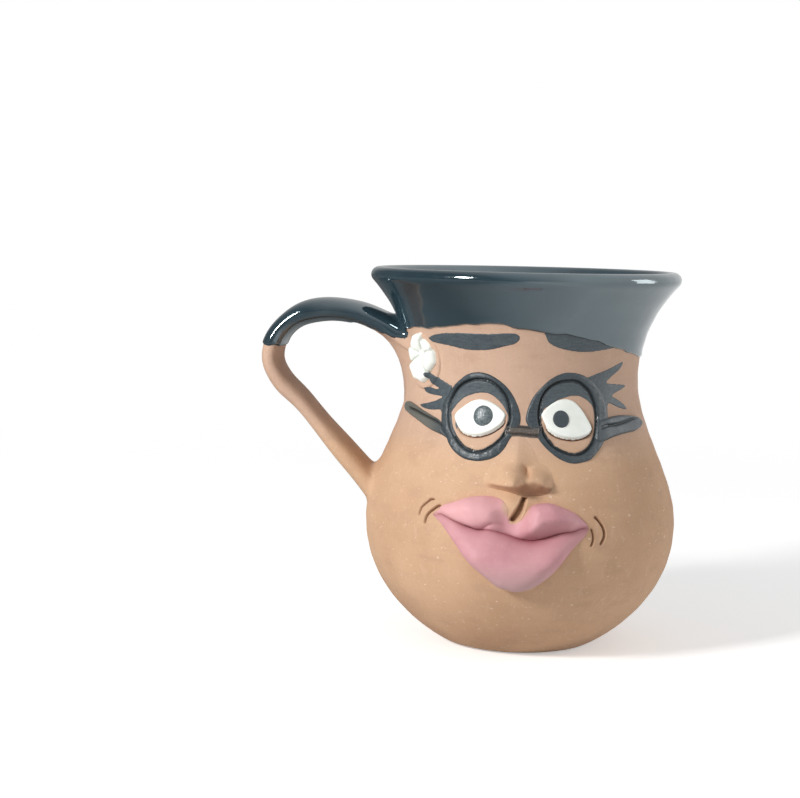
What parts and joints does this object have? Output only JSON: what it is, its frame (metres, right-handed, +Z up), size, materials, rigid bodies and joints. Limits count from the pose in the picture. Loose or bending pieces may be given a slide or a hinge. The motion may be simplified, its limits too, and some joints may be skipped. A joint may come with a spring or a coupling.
{
  "type": "mug",
  "caption": "Round-bellied clay mug with a flared glossy black lip, a pulled strap handle, and a comic face in relief with glasses, pink lips and a flower.",
  "frame": {"origin": "centre of the flat foot's underside", "axes": "+Z up through the mouth; the face looks along -Y; the handle stands out along -X"},
  "size_m": [0.1124, 0.0884, 0.1004],
  "materials": {
    "bare_clay": "matte, with fine pale specks",
    "black_glaze": "gloss",
    "pink_paint": "matte",
    "white_clay": "matte",
    "black_slip": "satin, brushed"
  },
  "bodies": {
    "root": {"vessel": "bare_clay", "vessel_glaze": "black_glaze", "handle": "bare_clay", "handle_glaze": "black_glaze", "nose": "bare_clay", "upper_lip": "pink_paint", "lower_lip": "pink_paint", "left_eye_white": "white_clay", "right_eye_white": "white_clay", "left_pupil": "black_slip", "right_pupil": "black_slip", "left_lens_rim": "black_slip", "right_lens_rim": "black_slip", "glasses_bridge": "black_slip", "left_glasses_arm": "black_slip", "right_glasses_arm": "black_slip", "flower_pad": "bare_clay", "flower_petal_1": "white_clay", "flower_petal_2": "white_clay", "flower_petal_3": "white_clay", "flower_petal_4": "white_clay", "flower_petal_5": "white_clay", "flower_centre": "white_clay", "left_brow": "black_slip", "right_brow": "black_slip", "left_eyelid": "black_slip", "right_eyelid": "black_slip", "left_lashes": "black_slip", "right_lashes": "black_slip"}
  },
  "joints": []
}
